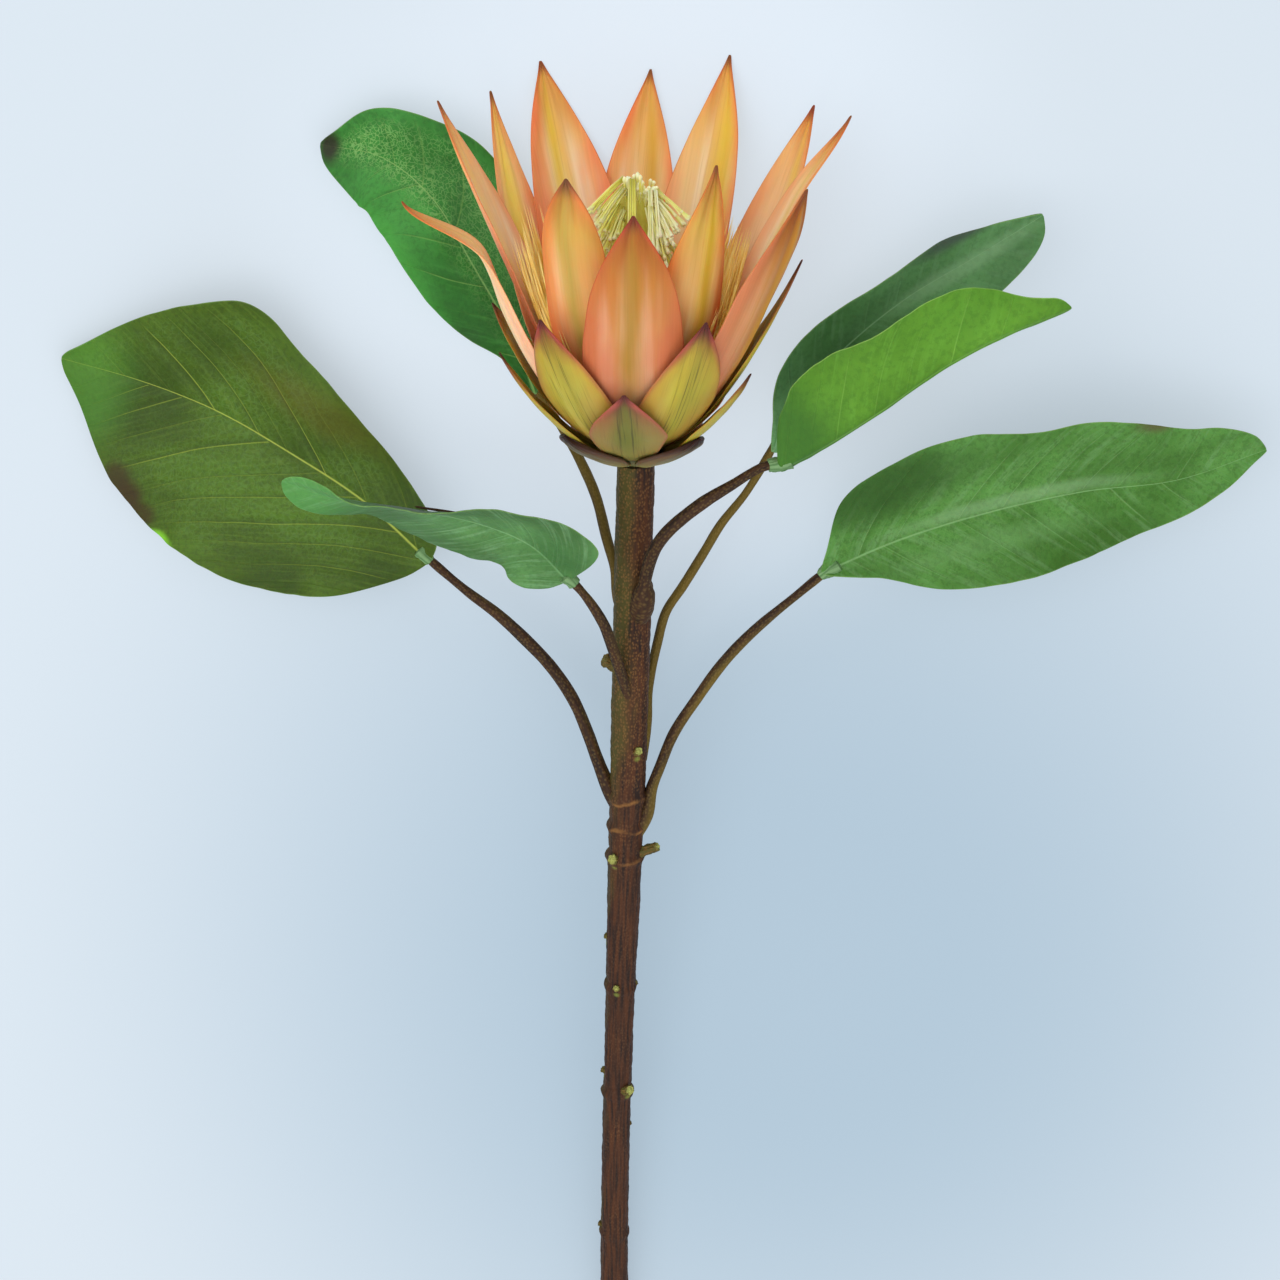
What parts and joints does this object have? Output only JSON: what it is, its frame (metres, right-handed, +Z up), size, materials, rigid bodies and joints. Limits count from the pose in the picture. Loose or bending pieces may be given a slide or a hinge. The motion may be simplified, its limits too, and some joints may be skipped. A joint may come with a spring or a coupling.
{
  "type": "cut flower",
  "caption": "Cut king protea lying on its side: a cup-shaped bloom of layered pointed petals round a tuft of florets, on a woody stem with broad oval leaves.",
  "frame": {"origin": "centre of the lying flower's footprint, on the surface it lies on", "axes": "+Y along the stem towards the bloom, +Z up from the surface, +X to the right of the bloom seen from above"},
  "size_m": [0.4116, 0.5129, 0.1039],
  "materials": {
    "bark": "matt brown with olive patches, finely grained",
    "leaf_stalk": "matt brown, olive where it catches the light",
    "leaf": "waxy green with paler veins",
    "petal": "soft peach with a mustard stripe and pink sides",
    "green_bract": "soft olive green with dark red edges",
    "base_bract": "soft mauve brown, yellow green at the root",
    "floret": "pale yellow green fibre",
    "receptacle": "matt"
  },
  "bodies": {
    "root": {"bract_base_1": "base_bract", "bract_base_2": "base_bract", "bract_base_3": "base_bract", "bract_base_4": "base_bract", "bract_high_1": "green_bract", "bract_high_2": "green_bract", "bract_high_3": "green_bract", "bract_high_4": "green_bract", "bract_high_5": "green_bract", "bract_high_6": "green_bract", "bract_low_1": "green_bract", "bract_low_2": "green_bract", "bract_low_3": "green_bract", "bract_low_4": "green_bract", "bract_low_5": "green_bract", "bract_low_6": "green_bract", "florets": "floret", "leaf_behind_left": "leaf", "leaf_behind_right": "leaf", "leaf_front_left": "leaf", "leaf_front_right": "leaf", "leaf_left": "leaf", "leaf_right": "leaf", "petal_inner_1": "petal", "petal_inner_2": "petal", "petal_inner_3": "petal", "petal_inner_4": "petal", "petal_inner_5": "petal", "petal_inner_6": "petal", "petal_outer_1": "petal", "petal_outer_2": "petal", "petal_outer_3": "petal", "petal_outer_4": "petal", "petal_outer_5": "petal", "petal_outer_6": "petal", "receptacle": "receptacle", "stalk_behind_left": "leaf_stalk", "stalk_behind_right": "leaf_stalk", "stalk_front_left": "leaf_stalk", "stalk_front_right": "leaf_stalk", "stalk_left": "leaf_stalk", "stalk_right": "leaf_stalk", "stem": "bark"}
  },
  "joints": []
}
